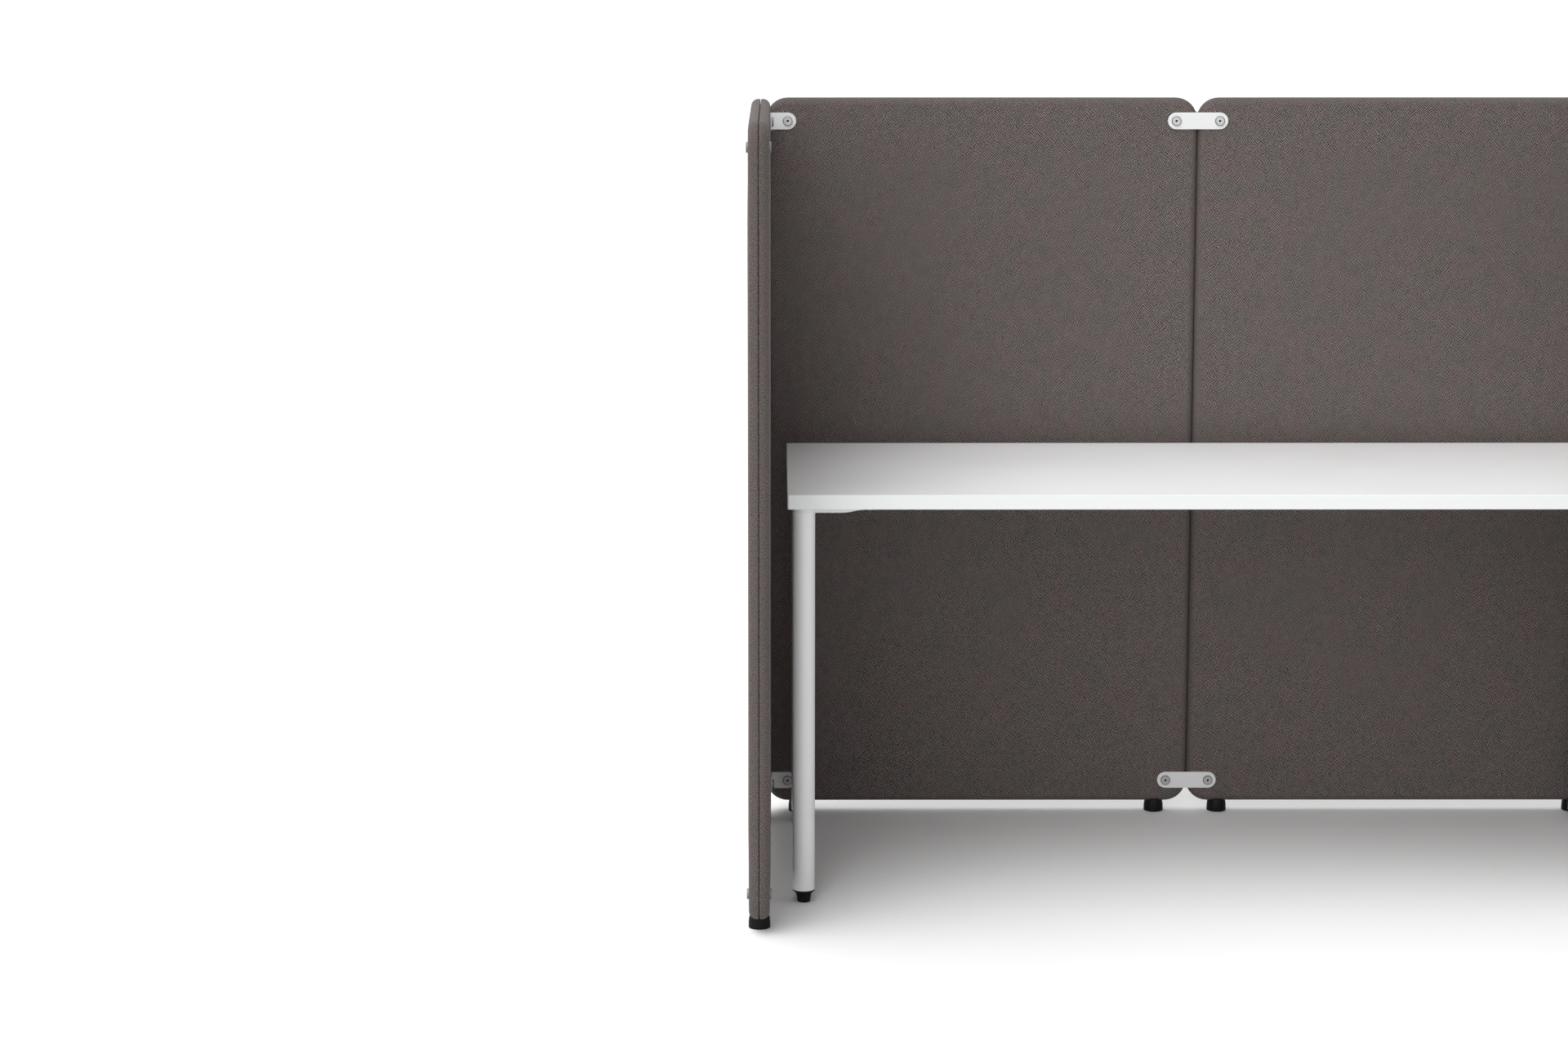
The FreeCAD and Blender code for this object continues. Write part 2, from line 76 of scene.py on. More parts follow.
def add(tree, kind, inputs=None, **settings):
    """Add a node, set its options, and link or fill its inputs."""
    node = tree.nodes.new(kind)
    for name, value in settings.items():
        setattr(node, name, value)
    for socket, value in (inputs or {}).items():
        if isinstance(value, bpy.types.NodeSocket):
            tree.links.new(value, node.inputs[socket])
        else:
            node.inputs[socket].default_value = value
    return node


def new_material(name):
    """A fresh material, its node tree and its principled shader."""
    material = bpy.data.materials.new(name)
    material.use_nodes = True
    tree = material.node_tree
    return material, tree, tree.nodes["Principled BSDF"]


def wear(obj, material):
    """Give an object this one material on every face."""
    obj.data.materials.clear()
    obj.data.materials.append(material)
    for face in obj.data.polygons:
        face.material_index = 0


print("mid grey is", [round(c, 3) for c in linear("808080")[:3]], "in linear light")

# %% [markdown]
# ## The floor and the light
#
# Furniture like this is shown on a white floor that runs into a white background, lit so
# softly that the only shadows are where surfaces come close together. A white world does
# part of that, and three suns with very wide discs do the rest. The high one on the left
# gives the direction: the left wing shades the corner next to it, and the far side stays
# bright. A low one from the same side reaches in under the desk, and one behind keeps the
# floor there white. They are suns and not area lamps, because a sun lights the whole floor
# alike.
#
# Camera and mirror rays see the world at full white, while the light that falls on the
# object stays at a plain level. The floor has a second coat of diffuse white that only
# the camera sees: open floor goes fully white with it, and shadows stay shadows.

# %% Floor and world
AMBIENT = 0.33
FLOOR_WHITE = 0.80
FLOOR_SECOND_COAT = 0.24
FLOOR_SIZE = 150


def make_world():
    world = bpy.data.worlds.new("white_studio")
    bpy.context.scene.world = world
    world.use_nodes = True
    tree = world.node_tree
    background = tree.nodes["Background"]
    background.inputs["Color"].default_value = (1, 1, 1, 1)
    path = add(tree, "ShaderNodeLightPath")
    seen = add(tree, "ShaderNodeMath", {
        0: path.outputs["Is Camera Ray"], 1: path.outputs["Is Glossy Ray"],
    }, operation="MAXIMUM")
    seen = add(tree, "ShaderNodeMath", {
        0: seen.outputs[0], 1: path.outputs["Is Transmission Ray"],
    }, operation="MAXIMUM")
    level = add(tree, "ShaderNodeMapRange", {
        "Value": seen.outputs[0], "To Min": AMBIENT, "To Max": 1.0,
    })
    tree.links.new(level.outputs["Result"], background.inputs["Strength"])


def make_floor():
    bm = bmesh.new()
    bmesh.ops.create_grid(bm, x_segments=1, y_segments=1, size=FLOOR_SIZE)
    mesh = bpy.data.meshes.new("studio_floor")
    bm.to_mesh(mesh)
    bm.free()
    floor = bpy.data.objects.new("studio_floor", mesh)
    bpy.context.scene.collection.objects.link(floor)
    material = bpy.data.materials.new("matte_white_studio_paint")
    material.use_nodes = True
    tree = material.node_tree
    tree.nodes.remove(tree.nodes["Principled BSDF"])
    path = add(tree, "ShaderNodeLightPath")
    paint = add(tree, "ShaderNodeBsdfDiffuse", {
        "Color": (FLOOR_WHITE, FLOOR_WHITE, FLOOR_WHITE, 1),
    })
    extra = add(tree, "ShaderNodeMath", {
        0: path.outputs["Is Camera Ray"], 1: FLOOR_SECOND_COAT,
    }, operation="MULTIPLY")
    second = add(tree, "ShaderNodeBsdfDiffuse", {"Color": extra.outputs[0]})
    both = add(tree, "ShaderNodeAddShader", {0: paint.outputs[0], 1: second.outputs[0]})
    tree.links.new(both.outputs[0], tree.nodes["Material Output"].inputs["Surface"])
    wear(floor, material)
    return floor


make_world()
make_floor()
print("ambient light level", AMBIENT)

# %% Suns
def soft_sun(name, level, left, height, disc):
    """A sun with a wide disc. Falling square on white, its light alone gives this level.

    It stands this many degrees to the left of the front, and this many above the floor.
    """
    data = bpy.data.lights.new(name, "SUN")
    data.energy = level * math.pi
    data.angle = math.radians(disc)
    sun = bpy.data.objects.new(name, data)
    turn = Matrix.Rotation(math.radians(-left), 4, "Z")
    tilt = Matrix.Rotation(math.radians(90 - height), 4, "X")
    sun.rotation_euler = (turn @ tilt).to_euler()
    bpy.context.scene.collection.objects.link(sun)
    return sun


suns = [
    soft_sun("key_sun", level=0.50, left=50, height=64, disc=45),
    soft_sun("low_sun", level=0.32, left=25, height=20, disc=60),
    soft_sun("back_sun", level=0.37, left=165, height=60, disc=60),
]
for sun in suns:
    ray = sun.rotation_euler.to_matrix() @ Vector((0, 0, -1))
    print(sun.name, "shines towards", [round(v, 2) for v in ray])

# %% [markdown]
# ## The camera
#
# The bay is seen from the front and from a little above, with the left wing edge-on: the
# camera stands almost in the plane of that wing. A long lens keeps the uprights close to
# parallel, and a small downward shift keeps the tilt small.

# %% Camera
CAMERA_PLACE = Vector((-0.780, -5.744, 1.665))
CAMERA_TILT = 8.23
CAMERA_TURN = 0.12
CAMERA_LENS = 75.68
CAMERA_SHIFT = (0.0, -0.073)


def make_camera():
    data = bpy.data.cameras.new("camera")
    data.sensor_width = 36
    data.lens = CAMERA_LENS
    data.shift_x, data.shift_y = CAMERA_SHIFT
    camera = bpy.data.objects.new("camera", data)
    camera.location = CAMERA_PLACE
    camera.rotation_euler = (math.radians(90 - CAMERA_TILT), 0, -math.radians(CAMERA_TURN))
    bpy.context.scene.collection.objects.link(camera)
    bpy.context.scene.camera = camera


make_camera()
bpy.context.scene.view_settings.view_transform = "Standard"
print("camera", CAMERA_LENS, "mm, tilted down", CAMERA_TILT, "degrees")

# %% [markdown]
# ## Crepe-woven upholstery
#
# The screens wear a matte wool-blend cloth in a crepe weave: short raised threads that
# lie at 45 degrees, either way, in small patches with no order to them. From a distance
# they melt into a fine grain; close by they look like basket work.
#
# The weave is drawn on the cloth's own UV map, in millimetres, which runs over the rounded
# edges without a break. A cell pattern splits the cloth into patches, each patch picks one
# of the two diagonals at random, and a sine wave along that diagonal draws the threads.
# The loom pulled the cloth a little longer than wide.
# Where the cloth turns the edge of a pad it is stretched, and the threads sink into it:
# there the waves fade and only the fuzz of the fibres stays. An attribute of the pad,
# called turned, says where that is.

# %% Upholstery material
# Lengths are in millimetres. Relief is how much the threads count against the fuzz.
THREAD_PITCH = 3.2
PATCH_SIZE = 4.8
WARP_STRETCH = 0.93
SWAY = 3.5
FACE_RELIEF = 0.34
EDGE_RELIEF = 0.05
TURNED_FULLY = 0.35
# Colours from the gaps to the tops of the threads: partly the yarn's own shades, partly painted
# shade in the gaps and painted highlight on the thread tops.
GAP_SHADE_AND_DARK_YARN = "2D2928"
THREAD_MIDDLE = "5E5755"
THREAD_TOP_HIGHLIGHT_AND_LIGHT_YARN = "9C9391"


def upholstery():
    material, tree, shader = new_material("wool_crepe_upholstery")
    cloth = add(tree, "ShaderNodeUVMap", uv_map="cloth")
    diagonal = add(tree, "ShaderNodeMapping", {
        "Vector": cloth.outputs["UV"],
        "Rotation": (0, 0, math.radians(45)),
        "Scale": (1 / MM, WARP_STRETCH / MM, 1 / MM),
    })
    # The cloth is never quite straight: the threads sway by a millimetre or so.
    sway = add(tree, "ShaderNodeTexNoise", {
        "Vector": diagonal.outputs[0], "Scale": 0.07, "Detail": 1.0,
    }, noise_dimensions="2D")
    sway = add(tree, "ShaderNodeVectorMath", {
        0: sway.outputs["Color"], 1: (0.5, 0.5, 0.5),
    }, operation="SUBTRACT")
    swayed = add(tree, "ShaderNodeVectorMath", {
        0: sway.outputs[0], 1: (SWAY, SWAY, 0.0), 2: diagonal.outputs[0],
    }, operation="MULTIPLY_ADD")
    patches = add(tree, "ShaderNodeTexVoronoi", {
        "Vector": swayed.outputs[0], "Scale": 1 / PATCH_SIZE, "Randomness": 0.9,
    }, voronoi_dimensions="2D", distance="CHEBYCHEV", feature="F1")
    dice = add(tree, "ShaderNodeSeparateColor", {"Color": patches.outputs["Color"]})
    axis = add(tree, "ShaderNodeSeparateXYZ", {"Vector": swayed.outputs[0]})
    either = add(tree, "ShaderNodeMath", {
        0: dice.outputs["Red"], 1: 0.5,
    }, operation="GREATER_THAN")
    along = add(tree, "ShaderNodeMix", {
        0: either.outputs[0], 2: axis.outputs["X"], 3: axis.outputs["Y"],
    }, data_type="FLOAT")
    phase = add(tree, "ShaderNodeMath", {
        0: along.outputs[0], 1: 2 * math.pi / THREAD_PITCH, 2: dice.outputs["Green"],
    }, operation="MULTIPLY_ADD")
    wave = add(tree, "ShaderNodeMath", {0: phase.outputs[0]}, operation="SINE")
    turned = add(tree, "ShaderNodeAttribute", attribute_name="turned")
    relief = add(tree, "ShaderNodeMapRange", {
        "Value": turned.outputs["Fac"], "From Min": 0.0, "From Max": TURNED_FULLY,
        "To Min": FACE_RELIEF, "To Max": EDGE_RELIEF,
    })
    fibre = add(tree, "ShaderNodeTexNoise", {
        "Vector": diagonal.outputs[0], "Scale": 0.55, "Detail": 2.0, "Roughness": 0.65,
    }, noise_dimensions="2D")
    height = add(tree, "ShaderNodeMath", {
        0: wave.outputs[0], 1: relief.outputs["Result"], 2: fibre.outputs["Fac"],
    }, operation="MULTIPLY_ADD")
    # The colour follows the height of the weave. This is partly the yarn's own shades and partly
    # painted shade in the gaps and painted highlight on the raised threads.
    yarn_and_weave_shade = add(tree, "ShaderNodeValToRGB", {"Fac": height.outputs[0]})
    ramp = yarn_and_weave_shade.color_ramp
    ramp.elements[0].position = 0.15
    ramp.elements[0].color = linear(GAP_SHADE_AND_DARK_YARN)
    ramp.elements[1].position = 0.85
    ramp.elements[1].color = linear(THREAD_TOP_HIGHLIGHT_AND_LIGHT_YARN)
    middle = ramp.elements.new(0.5)
    middle.color = linear(THREAD_MIDDLE)
    # The yarn is spun from fibres of several shades, so the colour drifts from a warm
    # mauve brown to a cooler green grey every few centimetres.
    drift = add(tree, "ShaderNodeTexNoise", {
        "Vector": diagonal.outputs[0], "Scale": 0.022, "Detail": 2.5, "Roughness": 0.55,
    }, noise_dimensions="2D")
    tint = add(tree, "ShaderNodeValToRGB", {"Fac": drift.outputs["Fac"]})
    tint.color_ramp.elements[0].position = 0.38
    tint.color_ramp.elements[0].color = linear("F5F8F3")
    tint.color_ramp.elements[1].position = 0.62
    tint.color_ramp.elements[1].color = linear("FFF7F8")
    dyed = add(tree, "ShaderNodeMix", {
        0: 1.0, 6: yarn_and_weave_shade.outputs["Color"], 7: tint.outputs["Color"],
    }, data_type="RGBA", blend_type="MULTIPLY")
    tree.links.new(dyed.outputs[2], shader.inputs["Base Color"])
    bump = add(tree, "ShaderNodeBump", {
        "Strength": 0.5, "Distance": 0.5 * MM, "Height": height.outputs[0],
    })
    tree.links.new(bump.outputs["Normal"], shader.inputs["Normal"])
    shader.inputs["Roughness"].default_value = 0.92
    shader.inputs["Specular IOR Level"].default_value = 0.15
    shader.inputs["Sheen Weight"].default_value = 0.08
    shader.inputs["Sheen Roughness"].default_value = 0.5
    return material


cloth_material = upholstery()
print("threads every", THREAD_PITCH, "mm in patches of about", PATCH_SIZE, "mm")

# %% [markdown]
# ## Powder-coated steel and lacquered castings
#
# Legs, link plates and corner angles are steel under a white powder coat, and the leg
# brackets are castings under the same white. Powder melts into a skin with a faint orange
# peel, a soft unevenness a couple of millimetres across, and a satin shine. A casting is
# a little rougher. One function makes both, with the grain and the depth as its values.

# %% Coated metal materials
def coated_metal(name, colour, roughness, grain_mm, depth_mm):
    material, tree, shader = new_material(name)
    place = add(tree, "ShaderNodeTexCoord")
    peel = add(tree, "ShaderNodeTexNoise", {
        "Vector": place.outputs["Object"], "Scale": 1 / (grain_mm * MM),
        "Detail": 2.0, "Roughness": 0.45,
    })
    shade = add(tree, "ShaderNodeMapRange", {
        "Value": peel.outputs["Fac"], "From Min": 0.3, "From Max": 0.7,
        "To Min": roughness - 0.05, "To Max": roughness + 0.05,
    })
    tree.links.new(shade.outputs["Result"], shader.inputs["Roughness"])
    cloud = add(tree, "ShaderNodeTexNoise", {
        "Vector": place.outputs["Object"], "Scale": 14.0, "Detail": 1.0,
    })
    tone = add(tree, "ShaderNodeMix", {
        0: cloud.outputs["Fac"], 6: linear(colour), 7: darker(colour, share=0.965),
    }, data_type="RGBA")
    tree.links.new(tone.outputs[2], shader.inputs["Base Color"])
    bump = add(tree, "ShaderNodeBump", {
        "Strength": 0.35, "Distance": depth_mm * MM, "Height": peel.outputs["Fac"],
    })
    tree.links.new(bump.outputs["Normal"], shader.inputs["Normal"])
    shader.inputs["Coat Weight"].default_value = 0.15
    shader.inputs["Coat Roughness"].default_value = 0.25
    return material


white_steel = coated_metal(
    "white_powder_coated_steel", "F7F8F8", roughness=0.38, grain_mm=2.2, depth_mm=0.05,
)
white_casting = coated_metal(
    "white_lacquered_casting", "F0F1F1", roughness=0.5, grain_mm=1.1, depth_mm=0.09,
)
print("coated metals:", white_steel.name, white_casting.name)

# %% [markdown]
# ## Melamine laminate and its edge band
#
# The desk top is chipboard under a melamine laminate, pressed against a plate with a very
# fine pearl texture: white, hard and semi-matte. The edge band is solid ABS, extruded, so
# it is smoother and has faint lines that run along it.

# %% Laminate and edge band materials
def laminate():
    material, tree, shader = new_material("white_melamine_laminate")
    place = add(tree, "ShaderNodeTexCoord")
    pearl = add(tree, "ShaderNodeTexVoronoi", {
        "Vector": place.outputs["Object"], "Scale": 1 / (1.4 * MM),
    }, feature="SMOOTH_F1")
    haze = add(tree, "ShaderNodeTexNoise", {
        "Vector": place.outputs["Object"], "Scale": 5.0, "Detail": 3.0,
    })
    rough = add(tree, "ShaderNodeMapRange", {
        "Value": haze.outputs["Fac"], "From Min": 0.3, "From Max": 0.7,
        "To Min": 0.40, "To Max": 0.50,
    })
    tree.links.new(rough.outputs["Result"], shader.inputs["Roughness"])
    tone = add(tree, "ShaderNodeMix", {
        0: haze.outputs["Fac"], 6: linear("F0F0F0"), 7: linear("ECECEC"),
    }, data_type="RGBA")
    tree.links.new(tone.outputs[2], shader.inputs["Base Color"])
    bump = add(tree, "ShaderNodeBump", {
        "Strength": 0.25, "Distance": 0.03 * MM, "Height": pearl.outputs["Distance"],
    })
    tree.links.new(bump.outputs["Normal"], shader.inputs["Normal"])
    return material


def edge_band_plastic():
    material, tree, shader = new_material("white_abs_edge_band")
    place = add(tree, "ShaderNodeTexCoord")
    lines = add(tree, "ShaderNodeTexNoise", {
        "Vector": add(tree, "ShaderNodeMapping", {
            "Vector": place.outputs["Object"], "Scale": (3.0, 3.0, 900.0),
        }).outputs[0], "Scale": 1.0, "Detail": 2.0,
    })
    rough = add(tree, "ShaderNodeMapRange", {
        "Value": lines.outputs["Fac"], "From Min": 0.3, "From Max": 0.7,
        "To Min": 0.28, "To Max": 0.38,
    })
    tree.links.new(rough.outputs["Result"], shader.inputs["Roughness"])
    bump = add(tree, "ShaderNodeBump", {
        "Strength": 0.15, "Distance": 0.02 * MM, "Height": lines.outputs["Fac"],
    })
    tree.links.new(bump.outputs["Normal"], shader.inputs["Normal"])
    tone = add(tree, "ShaderNodeMix", {
        0: lines.outputs["Fac"], 6: linear("F6F8F8"), 7: linear("F2F4F4"),
    }, data_type="RGBA")
    tree.links.new(tone.outputs[2], shader.inputs["Base Color"])
    return material


white_laminate = laminate()
white_edge = edge_band_plastic()
print("desk finishes:", white_laminate.name, white_edge.name)

# %% [markdown]
# ## Black plastic, bare steel and chipboard
#
# Feet, inserts and glides are moulded polypropylene: nearly black, with a fine spark-eroded
# grain that keeps highlights broad. Screw heads are nickel-plated steel and hidden screws
# are plain zinc: fine scuffs make both shinier in some spots than in others. The boards
# inside the screens and the desk are chipboard, pressed flakes of pale and darker wood.

# %% Plastic, steel and board materials
def moulded_plastic():
    material, tree, shader = new_material("black_moulded_polypropylene")
    place = add(tree, "ShaderNodeTexCoord")
    grain = add(tree, "ShaderNodeTexNoise", {
        "Vector": place.outputs["Object"], "Scale": 1 / (0.8 * MM), "Detail": 3.0,
    })
    tone = add(tree, "ShaderNodeMix", {
        0: grain.outputs["Fac"], 6: linear("060607"), 7: linear("0E0E10"),
    }, data_type="RGBA")
    tree.links.new(tone.outputs[2], shader.inputs["Base Color"])
    bump = add(tree, "ShaderNodeBump", {
        "Strength": 0.4, "Distance": 0.05 * MM, "Height": grain.outputs["Fac"],
    })
    tree.links.new(bump.outputs["Normal"], shader.inputs["Normal"])
    shader.inputs["Roughness"].default_value = 0.6
    shader.inputs["Specular IOR Level"].default_value = 0.2
    return material


def plated_steel(name, colour, roughness, scratch_mm):
    material, tree, shader = new_material(name)
    place = add(tree, "ShaderNodeTexCoord")
    scratch = add(tree, "ShaderNodeTexNoise", {
        "Vector": place.outputs["Object"], "Scale": 1 / (scratch_mm * MM),
        "Detail": 4.0, "Roughness": 0.7,
    })
    rough = add(tree, "ShaderNodeMapRange", {
        "Value": scratch.outputs["Fac"], "From Min": 0.3, "From Max": 0.7,
        "To Min": roughness - 0.08, "To Max": roughness + 0.08,
    })
    tree.links.new(rough.outputs["Result"], shader.inputs["Roughness"])
    tone = add(tree, "ShaderNodeMix", {
        0: scratch.outputs["Fac"], 6: linear(colour), 7: darker(colour, share=0.88),
    }, data_type="RGBA")
    tree.links.new(tone.outputs[2], shader.inputs["Base Color"])
    shader.inputs["Metallic"].default_value = 1.0
    return material


def chipboard():
    material, tree, shader = new_material("pressed_chipboard")
    place = add(tree, "ShaderNodeTexCoord")
    flakes = add(tree, "ShaderNodeTexVoronoi", {
        "Vector": add(tree, "ShaderNodeMapping", {
            "Vector": place.outputs["Object"], "Scale": (1.0, 1.0, 2.5),
        }).outputs[0], "Scale": 1 / (4.0 * MM),
    })
    pick = add(tree, "ShaderNodeSeparateColor", {"Color": flakes.outputs["Color"]})
    tone = add(tree, "ShaderNodeValToRGB", {"Fac": pick.outputs["Red"]})
    tone.color_ramp.elements[0].color = linear("8F7350")
    tone.color_ramp.elements[1].color = linear("CDB488")
    tree.links.new(tone.outputs["Color"], shader.inputs["Base Color"])
    bump = add(tree, "ShaderNodeBump", {
        "Strength": 0.5, "Distance": 0.2 * MM, "Height": pick.outputs["Green"],
    })
    tree.links.new(bump.outputs["Normal"], shader.inputs["Normal"])
    shader.inputs["Roughness"].default_value = 0.85
    return material


black_plastic = moulded_plastic()
nickel_steel = plated_steel("nickel_plated_steel", "C9CBCC", roughness=0.34, scratch_mm=1.2)
zinc_steel = plated_steel("zinc_plated_steel", "BDBEB8", roughness=0.42, scratch_mm=2.0)
raw_board = chipboard()
print("small finishes:", [m.name for m in (black_plastic, nickel_steel, zinc_steel, raw_board)])

# %% [markdown]
# ## Dress the solids
#
# Most solids already have the right shape. Each takes the finish that its name calls for,
# and the list that follows is read from top to bottom until a rule fits.

# %% Materials by name
FINISHES = [
    (lambda n: n.endswith("core_board") or n == "desk_board", raw_board),
    (lambda n: n.startswith(("seam_plate", "corner_angle")), white_steel),
    (lambda n: n in ("link_screws", "sleeve_nuts"), nickel_steel),
    (lambda n: n in ("foot_screws", "bracket_screws") or n.startswith("glide_stem"), zinc_steel),
    (lambda n: "_foot_" in n or n.startswith(("leg_insert", "glide_pad")), black_plastic),
    (lambda n: n.startswith("leg_bracket"), white_casting),
    (lambda n: n.startswith("leg_"), white_steel),
    (lambda n: n in ("desk_laminate", "desk_backing"), white_laminate),
    (lambda n: n == "desk_edge_band", white_edge),
    (lambda n: n.endswith("_pad"), cloth_material),
]

for name, obj in nodes.items():
    wear(obj, next(material for rule, material in FINISHES if rule(name)))
print(len(nodes), "solids dressed")

# %% [markdown]
# ## The upholstered pads
#
# Each screen has a pad on both sides of its core board: foam on a thin backing, with the
# cloth pulled over the rounded edge and fixed on the seam side. A pad starts as a block.
# Its four corners get the large round, its outer edge the 14 mm round of the foam, and the
# seam side only the small round of folded cloth. Cuts across the block then give it a net
# of small faces, because the cloth is simulated next, and cloth needs points to move.
#
# Near each corner of a pad, a link's screw goes through it. LINK_END is how far the screw is
# from the pad's side, and LINK_EDGE is how far it is from the top or the bottom.

# %% Shape of one pad
CORNER_ROUND = 40 * MM
EDGE_ROUND = 14 * MM
SEAM_ROUND = 2 * MM
NET = 20 * MM
LINK_END = 40 * MM
LINK_EDGE = 42.5 * MM
TINY = 1e-6

pad_low, pad_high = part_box("back_left_inner_pad")
PAD_WIDTH = pad_high.x - pad_low.x
PAD_THICKNESS = pad_high.y - pad_low.y
PAD_HEIGHT = pad_high.z - pad_low.z


def edges_where(bm, test):
    return [edge for edge in bm.edges if all(test(v.co) for v in edge.verts)]


def round_edges(bm, edges, radius, segments):
    bmesh.ops.bevel(bm, geom=edges, offset=radius, offset_type="OFFSET", segments=segments,
                    profile=0.5, affect="EDGES", material=-1, clamp_overlap=True)


def cut_across(bm, normal, places):
    for place in places:
        bmesh.ops.bisect_plane(bm, geom=bm.verts[:] + bm.edges[:] + bm.faces[:], dist=TINY,
                               plane_co=normal * place, plane_no=normal)


def pad_block():
    """A pad in its own frame: x across, z up, y from 0 at the seam to its outer face."""
    bm = bmesh.new()
    place = Matrix.Translation((0, PAD_THICKNESS / 2, 0))
    size = Matrix.Diagonal((PAD_WIDTH, PAD_THICKNESS, PAD_HEIGHT, 1))
    bmesh.ops.create_cube(bm, size=1, matrix=place @ size)
    through = [e for e in bm.edges if abs(e.verts[0].co.y - e.verts[1].co.y) > PAD_THICKNESS / 2]
    round_edges(bm, through, CORNER_ROUND, segments=8)
    outer = edges_where(bm, lambda co: co.y > PAD_THICKNESS - TINY)
    round_edges(bm, outer, EDGE_ROUND, segments=6)
    seam = edges_where(bm, lambda co: co.y < TINY)
    round_edges(bm, seam, SEAM_ROUND, segments=2)
    for normal, length in ((Vector((1, 0, 0)), PAD_WIDTH), (Vector((0, 0, 1)), PAD_HEIGHT)):
        inside = length - 2 * CORNER_ROUND
        count = round(inside / NET)
        cut_across(bm, normal, [-inside / 2 + inside * i / count for i in range(count + 1)])
    bmesh.ops.recalc_face_normals(bm, faces=bm.faces[:])
    return bm


def lay_cloth(bm):
    """The cloth's UV map in metres: flat over the face, and paid out over the rounds.

    Its attribute, turned, goes from 0 on the face to 1 at the seam.
    """
    layer = bm.loops.layers.uv.new("cloth")
    turned = bm.verts.layers.float.new("turned")
    for vert in bm.verts:
        vert[turned] = (PAD_THICKNESS - vert.co.y) / PAD_THICKNESS
    flat_x = PAD_WIDTH / 2 - CORNER_ROUND
    flat_z = PAD_HEIGHT / 2 - CORNER_ROUND
    for face in bm.faces:
        for loop in face.loops:
            co = loop.vert.co
            near_x = max(-flat_x, min(flat_x, co.x))
            near_z = max(-flat_z, min(flat_z, co.z))
            nearest = Vector((near_x, 0, near_z))
            out = Vector((co.x, 0, co.z)) - nearest
            paid_out = PAD_THICKNESS - co.y
            if out.length > 1e-9:
                out *= (out.length + paid_out) / out.length
            loop[layer].uv = (nearest.x + out.x, nearest.z + out.z)


pad_bm = pad_block()
lay_cloth(pad_bm)
pad_mesh = bpy.data.meshes.new("pad")
pad_bm.to_mesh(pad_mesh)
pad_bm.free()
print("pad net:", len(pad_mesh.vertices), "points,", len(pad_mesh.polygons), "faces")

# %% [markdown]
# ## Let the foam fill the cloth
#
# Foam presses its cover out evenly, so the cloth simulation runs with a gentle pressure
# and no gravity. The seam side is glued down and doesn't move. Each other point may move
# only a millimetre or so, and never inward, because these pads are firm and their faces
# look flat. What is left is what the eye wants: a face with a slight crown and edges that
# are not quite machine-straight. The pads sit under steel plates and screw heads at their
# corners, so the swelling fades out towards the links there. It is nil as far from a link
# as CALM_START of CALM_REACH, and at full strength one CALM_REACH beyond that.
#
# Where two screens meet at right angles, the rounded edges of their pads are pressed
# together, and no light comes through. So each edge is filled out by a little more than
# half the play that the solids have there, most of all halfway around its turn.

# %% Cloth simulation on one pad
PRESSURE = 4.0
LAST_FRAME = 16
MOST_SWELL = 1.2 * MM
GLUED_UP_TO = 2.5 * MM
CALM_REACH = 90 * MM
CALM_START = 0.35
EDGE_FILL = 0.45 * MM


def simulate(mesh):
    """Run the cloth on a copy of the pad and return where its points end up."""
    obj = bpy.data.objects.new("cloth_trial", mesh.copy())
    bpy.context.scene.collection.objects.link(obj)
    glued = obj.vertex_groups.new(name="glued")
    held = [v.index for v in obj.data.vertices if v.co.y < GLUED_UP_TO]
    glued.add(held, 1.0, "REPLACE")
    cloth = obj.modifiers.new("cloth", "CLOTH")
    cloth.settings.quality = 4
    cloth.settings.mass = 0.3
    cloth.settings.tension_stiffness = 30
    cloth.settings.compression_stiffness = 30
    cloth.settings.bending_stiffness = 2.0
    cloth.settings.use_pressure = True
    cloth.settings.uniform_pressure_force = PRESSURE
    cloth.settings.effector_weights.gravity = 0.0
    cloth.settings.vertex_group_mass = "glued"
    cloth.point_cache.frame_end = LAST_FRAME
    scene = bpy.context.scene
    for number in range(1, LAST_FRAME + 1):
        scene.frame_set(number)
    evaluated = obj.evaluated_get(bpy.context.evaluated_depsgraph_get())
    ended = [v.co.copy() for v in evaluated.data.vertices]
    scene.frame_set(1)
    bpy.data.objects.remove(obj)
    return ended


def calm(co):
    """0 at the link in each corner, 1 well away from it."""
    link = Vector((PAD_WIDTH / 2 - LINK_END, 0, PAD_HEIGHT / 2 - LINK_EDGE))
    away = Vector((abs(co.x), 0, abs(co.z))) - link
    return min(1.0, max(0.0, away.length / CALM_REACH - CALM_START))


def swell(mesh):
    """Move the points as far as the foam lets them, and return the largest step."""
    moved = simulate(mesh)
    normals = [vert.normal.copy() for vert in mesh.vertices]
    largest = 0.0
    for vert, end, normal in zip(mesh.vertices, moved, normals):
        step = end - vert.co
        step -= normal * min(0.0, step.dot(normal))
        if step.length > MOST_SWELL:
            step *= MOST_SWELL / step.length
        step *= calm(vert.co)
        largest = max(largest, step.length)
        vert.co += step
    return largest


def fill_edges(mesh):
    """Press the rounded edge out: not at all on the face, most at 45 degrees."""
    normals = [vert.normal.copy() for vert in mesh.vertices]
    for vert, normal in zip(mesh.vertices, normals):
        sideways = math.hypot(normal.x, normal.z)
        vert.co += normal * EDGE_FILL * 2 * max(0.0, normal.y) * sideways


largest_step = swell(pad_mesh)
print("most that the cloth moved:", round(largest_step / MM, 2), "mm")
fill_edges(pad_mesh)

# %% [markdown]
# ## Hang the pads on their screens
#
# All eight pads are the same, so the finished mesh is copied, turned to face the right
# way and moved to where its solid is. Turning the mesh and not the object keeps every
# object at the origin.

# %% Place the pads
QUARTER = math.pi / 2
FACINGS = {
    "back_left_inner_pad": 2 * QUARTER, "back_left_outer_pad": 0,
    "back_right_inner_pad": 2 * QUARTER, "back_right_outer_pad": 0,
    "wing_left_inner_pad": -QUARTER, "wing_left_outer_pad": QUARTER,
    "wing_right_inner_pad": QUARTER, "wing_right_outer_pad": -QUARTER,
}


